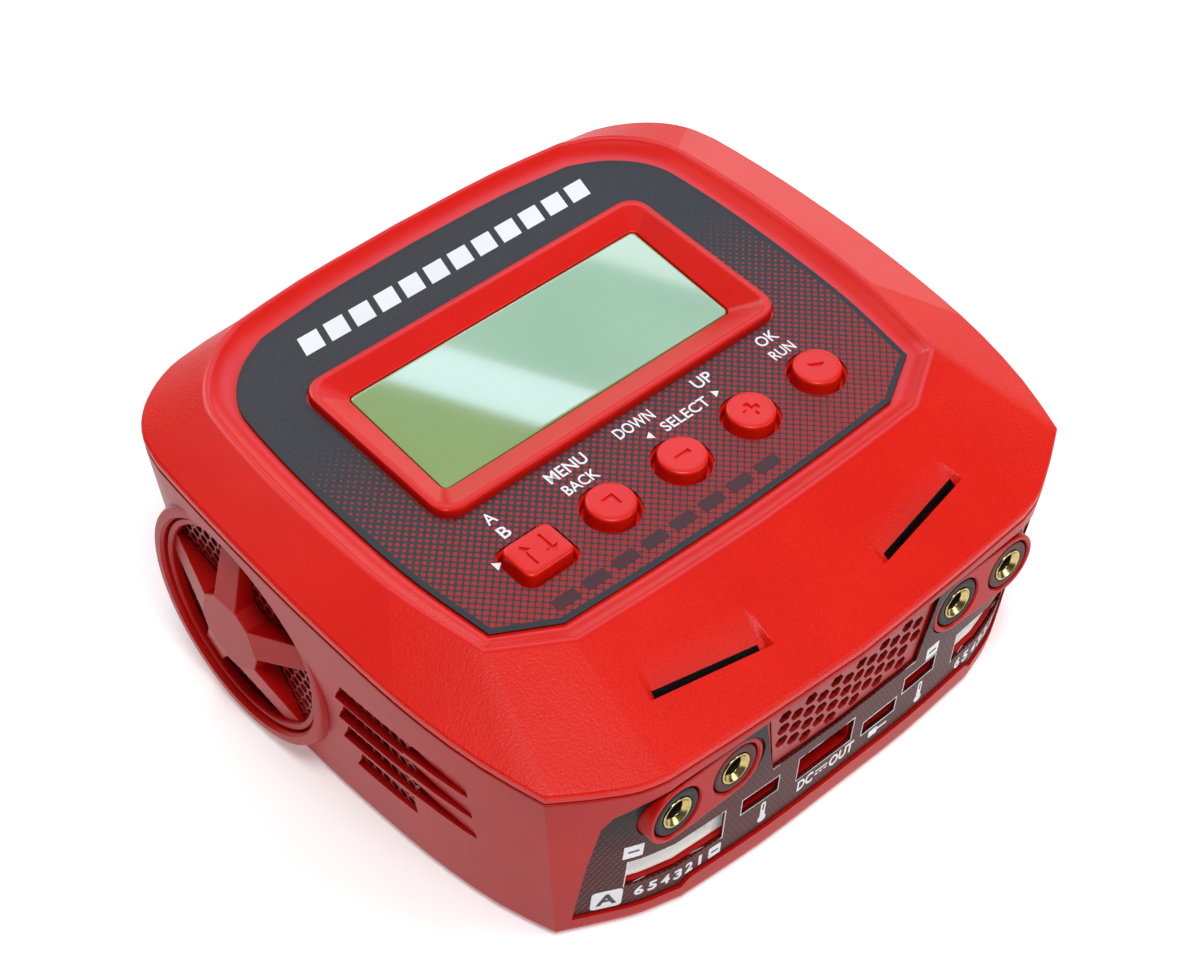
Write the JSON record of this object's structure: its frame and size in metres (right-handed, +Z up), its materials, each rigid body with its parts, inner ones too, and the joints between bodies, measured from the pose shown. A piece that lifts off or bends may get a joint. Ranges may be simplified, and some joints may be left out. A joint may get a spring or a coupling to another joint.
{
  "type": "balance battery charger",
  "caption": "Two-channel balance battery charger: wedge case with tilted display, button row, socket pairs, balance ports, round side vents with an inner fan and rear inlets.",
  "frame": {"origin": "on the table under the middle of the bounding box", "axes": "+X from the left fan side to the right side, +Y from the port side to the inlet side at the back, +Z up"},
  "size_m": [0.1368, 0.1244, 0.0595],
  "materials": {
    "cover_red": "fine moulded texture, bright red",
    "base_red": "satin, darker red",
    "grille_red": "satin dark red",
    "button_red": "smooth, slightly glossy",
    "label_black": "printed film, black fading into red dots",
    "carbon_label": "printed film, woven carbon pattern",
    "lcd_glass": "grey-green liquid crystal display",
    "circuit_board": "green circuit board",
    "port_black": "black moulding",
    "insulator_black": "black socket insulator",
    "insulator_red": "dark red socket insulator",
    "socket_brass": "gold-coloured plating",
    "nylon_white": "white nylon header",
    "port_steel": "plated shell",
    "inlet_yellow": "yellow nylon",
    "fan_black": "black fan moulding",
    "aluminium_plain": "plain heat sink",
    "tape_yellow": "taped transformer",
    "capacitor_blue": "sleeved capacitor",
    "copper_winding": "wound ring core",
    "foot_rubber": "soft black rubber",
    "screw_steel": "plated screw"
  },
  "bodies": {
    "case": {"top_cover": "cover_red", "base_shell": "base_red", "port_wall": "base_red", "inlet_wall": "base_red", "top_label": "label_black", "lcd_window": "lcd_glass", "lcd_module": "circuit_board", "button_board": "circuit_board", "switch_1": "port_black", "switch_2": "port_black", "switch_3": "port_black", "switch_4": "port_black", "switch_5": "port_black", "port_label": "carbon_label", "front_mesh": "grille_red", "fan_mesh_left": "grille_red", "louvre_mesh_left": "grille_red", "fan_guard_left": "base_red", "fan_mesh_right": "grille_red", "louvre_mesh_right": "grille_red", "fan_guard_right": "base_red", "fan_frame": "fan_black", "socket_ring_1": "insulator_black", "socket_1": "socket_brass", "socket_ring_2": "insulator_red", "socket_2": "socket_brass", "socket_ring_3": "insulator_black", "socket_3": "socket_brass", "socket_ring_4": "insulator_red", "socket_4": "socket_brass", "balance_port_a": "nylon_white", "balance_port_b": "nylon_white", "usb_port": "port_steel", "micro_port": "port_steel", "temp_port_a": "port_black", "temp_port_b": "port_black", "mains_inlet": "port_black", "battery_inlet": "inlet_yellow", "main_board": "circuit_board", "transformer": "tape_yellow", "heat_sink": "aluminium_plain", "capacitor_1": "capacitor_blue", "capacitor_2": "capacitor_blue", "inductor": "copper_winding", "foot_1": "foot_rubber", "foot_2": "foot_rubber", "foot_3": "foot_rubber", "foot_4": "foot_rubber", "case_screw_1": "screw_steel", "case_screw_2": "screw_steel", "case_screw_3": "screw_steel", "case_screw_4": "screw_steel"},
    "button_channel": {"button_channel": "button_red"},
    "button_stop": {"button_stop": "button_red"},
    "button_down": {"button_down": "button_red"},
    "button_up": {"button_up": "button_red"},
    "button_enter": {"button_enter": "button_red"},
    "fan_rotor": {"fan_rotor": "fan_black"}
  },
  "joints": [
    {"name": "button_channel_press", "type": "slide", "parent": "case", "child": "button_channel", "axis": [0, 0.0706, -0.9975], "range_m": [0, 0.0008], "stiffness_N_per_m": 300},
    {"name": "button_stop_press", "type": "slide", "parent": "case", "child": "button_stop", "axis": [0, 0.0706, -0.9975], "range_m": [0, 0.0008], "stiffness_N_per_m": 300},
    {"name": "button_down_press", "type": "slide", "parent": "case", "child": "button_down", "axis": [0, 0.0706, -0.9975], "range_m": [0, 0.0008], "stiffness_N_per_m": 300},
    {"name": "button_up_press", "type": "slide", "parent": "case", "child": "button_up", "axis": [0, 0.0706, -0.9975], "range_m": [0, 0.0008], "stiffness_N_per_m": 300},
    {"name": "button_enter_press", "type": "slide", "parent": "case", "child": "button_enter", "axis": [0, 0.0706, -0.9975], "range_m": [0, 0.0008], "stiffness_N_per_m": 300},
    {"name": "fan_spin", "type": "hinge", "parent": "case", "child": "fan_rotor", "pos_m": [-0.052, 0.02435, 0.0258], "axis": [1, 0, 0], "continuous": true}
  ]
}
